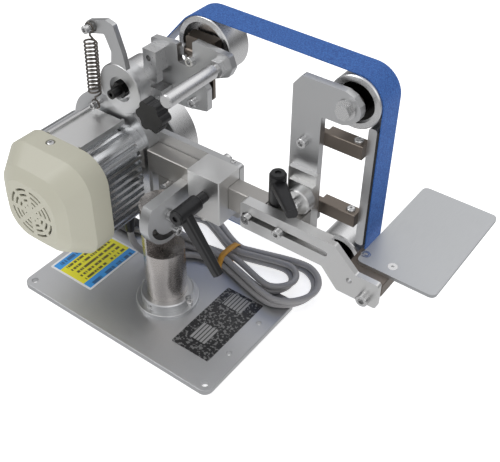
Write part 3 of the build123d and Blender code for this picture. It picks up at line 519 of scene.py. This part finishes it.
def band(name, x, loop, width, thick, material):
    """Closed strap at one X: a loop of (y, z) points in metres, made wide along X."""
    verts = []
    faces = []
    count = len(loop)
    centre = (sum(y for y, _ in loop) / count, sum(z for _, z in loop) / count)
    for y, z in loop:
        away = Vector((y - centre[0], z - centre[1])).normalized() * thick
        for dx, out in ((-width / 2, 0), (width / 2, 0), (width / 2, 1), (-width / 2, 1)):
            verts.append((x + dx, y + away.x * out, z + away.y * out))
    for i in range(count):
        for k in range(4):
            n = (i + 1) % count
            faces.append((4 * i + k, 4 * i + (k + 1) % 4, 4 * n + (k + 1) % 4, 4 * n + k))
    mesh = bpy.data.meshes.new(name)
    mesh.from_pydata(verts, [], faces)
    for face in mesh.polygons:
        face.use_smooth = True
    mesh.materials.append(material)
    return add_object(name, mesh)


def smooth_ring(points, steps):
    """Closed smooth line through points."""
    ring = []
    count = len(points)
    for i in range(count):
        p = [Vector(points[(i + k) % count]) for k in (-1, 0, 1, 2)]
        for step in range(steps):
            t = step / steps
            ring.append(0.5 * (
                2 * p[1] + (p[2] - p[0]) * t + (2 * p[0] - 5 * p[1] + 4 * p[2] - p[3]) * t * t
                + (3 * p[1] - p[0] - 3 * p[2] + p[3]) * t ** 3
            ))
    return ring


TIE_AROUND = (
    (58.9, 8.2), (60.6, 12.6), (64.3, 17.3), (70, 17.9), (78, 17.4), (86.5, 15.6), (91.0, 11.0),
    (91.0, 5.2), (87.0, 1.9), (76, 3.4), (66, 4.9), (60.8, 5.1),
)
tie_loop = smooth_ring([(y * MM, z * MM) for y, z in TIE_AROUND], 6)
tie = band("hank_tie", WAIST_X * MM, tie_loop, 6 * MM, 0.9 * MM, TIE)
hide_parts("cord_tie")
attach(tie, "base")


# Camera and light

def look(azimuth, elevation, roll):
    """Rotation of a camera that looks along an azimuth from +Y towards -X, and down by an elevation."""
    a, e, r = (math.radians(v) for v in (azimuth, elevation, roll))
    forward = Vector((-math.sin(a) * math.cos(e), math.cos(a) * math.cos(e), -math.sin(e)))
    right = Vector((math.cos(a), math.sin(a), 0))
    up = right.cross(forward)
    x = right * math.cos(r) + up * math.sin(r)
    y = up * math.cos(r) - right * math.sin(r)
    return Matrix((x, y, -forward)).transposed().to_4x4()


CAMERA_PLACE = (0.3856, -0.3886, 0.5490)
CAMERA_ANGLES = (35.9, 40.9, 0.7)
camera_data = bpy.data.cameras.new("camera")
camera_data.lens = 59.4
camera_data.sensor_width = 36
camera_data.clip_start = 0.01
camera = add_object("camera", camera_data)
camera.matrix_world = Matrix.Translation(CAMERA_PLACE) @ look(*CAMERA_ANGLES)
bpy.context.scene.camera = camera


def area_light(name, place, target, size, power):
    """Square soft light aimed at a point."""
    data = bpy.data.lights.new(name, "AREA")
    data.shape = "SQUARE"
    data.size = size
    data.energy = power
    light = add_object(name, data)
    light.location = place
    aim = Vector(target) - Vector(place)
    light.rotation_euler = aim.to_track_quat("-Z", "Y").to_euler()


def floor_material():
    """Pale studio floor that glows a little, so that it stays nearly white."""
    mat, _, shader = new_material("studio_floor")
    shader.inputs["Base Color"].default_value = (0.86, 0.86, 0.86, 1)
    shader.inputs["Roughness"].default_value = 0.9
    shader.inputs["Emission Color"].default_value = (1, 1, 1, 1)
    shader.inputs["Emission Strength"].default_value = 0.60
    return mat


FLOOR_REACH = 4.0
corners = [(x * FLOOR_REACH, y * FLOOR_REACH, 0) for x, y in ((-1, -1), (1, -1), (1, 1), (-1, 1))]
floor_mesh = bpy.data.meshes.new("studio_floor")
floor_mesh.from_pydata(corners, [], [(0, 1, 2, 3)])
floor_mesh.materials.append(floor_material())
floor = add_object("studio_floor", floor_mesh)
floor.location.z = CAD_BOX[0].z
floor.visible_glossy = False

LIGHT_TARGET = (0.05, 0.02, 0.12)
area_light("key_light", (-0.7, -0.5, 1.3), LIGHT_TARGET, 0.8, 6.0)
area_light("fill_light", (1.1, -0.6, 0.7), LIGHT_TARGET, 0.9, 2.2)
area_light("back_light", (0.2, 1.2, 1.0), LIGHT_TARGET, 1.4, 2.5)


def studio_world():
    """Light below and above, with a dark horizon for the metal to reflect; the camera sees white."""
    world = bpy.data.worlds.new("studio")
    world.use_nodes = True
    tree = world.node_tree
    coords = tree.nodes.new("ShaderNodeTexCoord")
    split = tree.nodes.new("ShaderNodeSeparateXYZ")
    tree.links.new(coords.outputs["Generated"], split.inputs["Vector"])
    half_up = tree.nodes.new("ShaderNodeMapRange")
    half_up.inputs["From Min"].default_value = -1
    tree.links.new(split.outputs["Z"], half_up.inputs["Value"])
    ramp = tree.nodes.new("ShaderNodeValToRGB")
    below, above = ramp.color_ramp.elements
    below.position = 0.30
    below.color = (0.66, 0.66, 0.665, 1)
    above.position = 0.85
    above.color = (0.80, 0.80, 0.81, 1)
    horizon = ramp.color_ramp.elements.new(0.50)
    horizon.color = (0.10, 0.10, 0.102, 1)
    tree.links.new(half_up.outputs["Result"], ramp.inputs["Fac"])
    rays = tree.nodes.new("ShaderNodeLightPath")
    seen = mix(tree, rays.outputs["Is Camera Ray"], ramp.outputs["Color"], (1, 1, 1))
    tree.links.new(seen, tree.nodes["Background"].inputs["Color"])
    return world


bpy.context.scene.world = studio_world()
bpy.context.scene.view_settings.view_transform = "Standard"
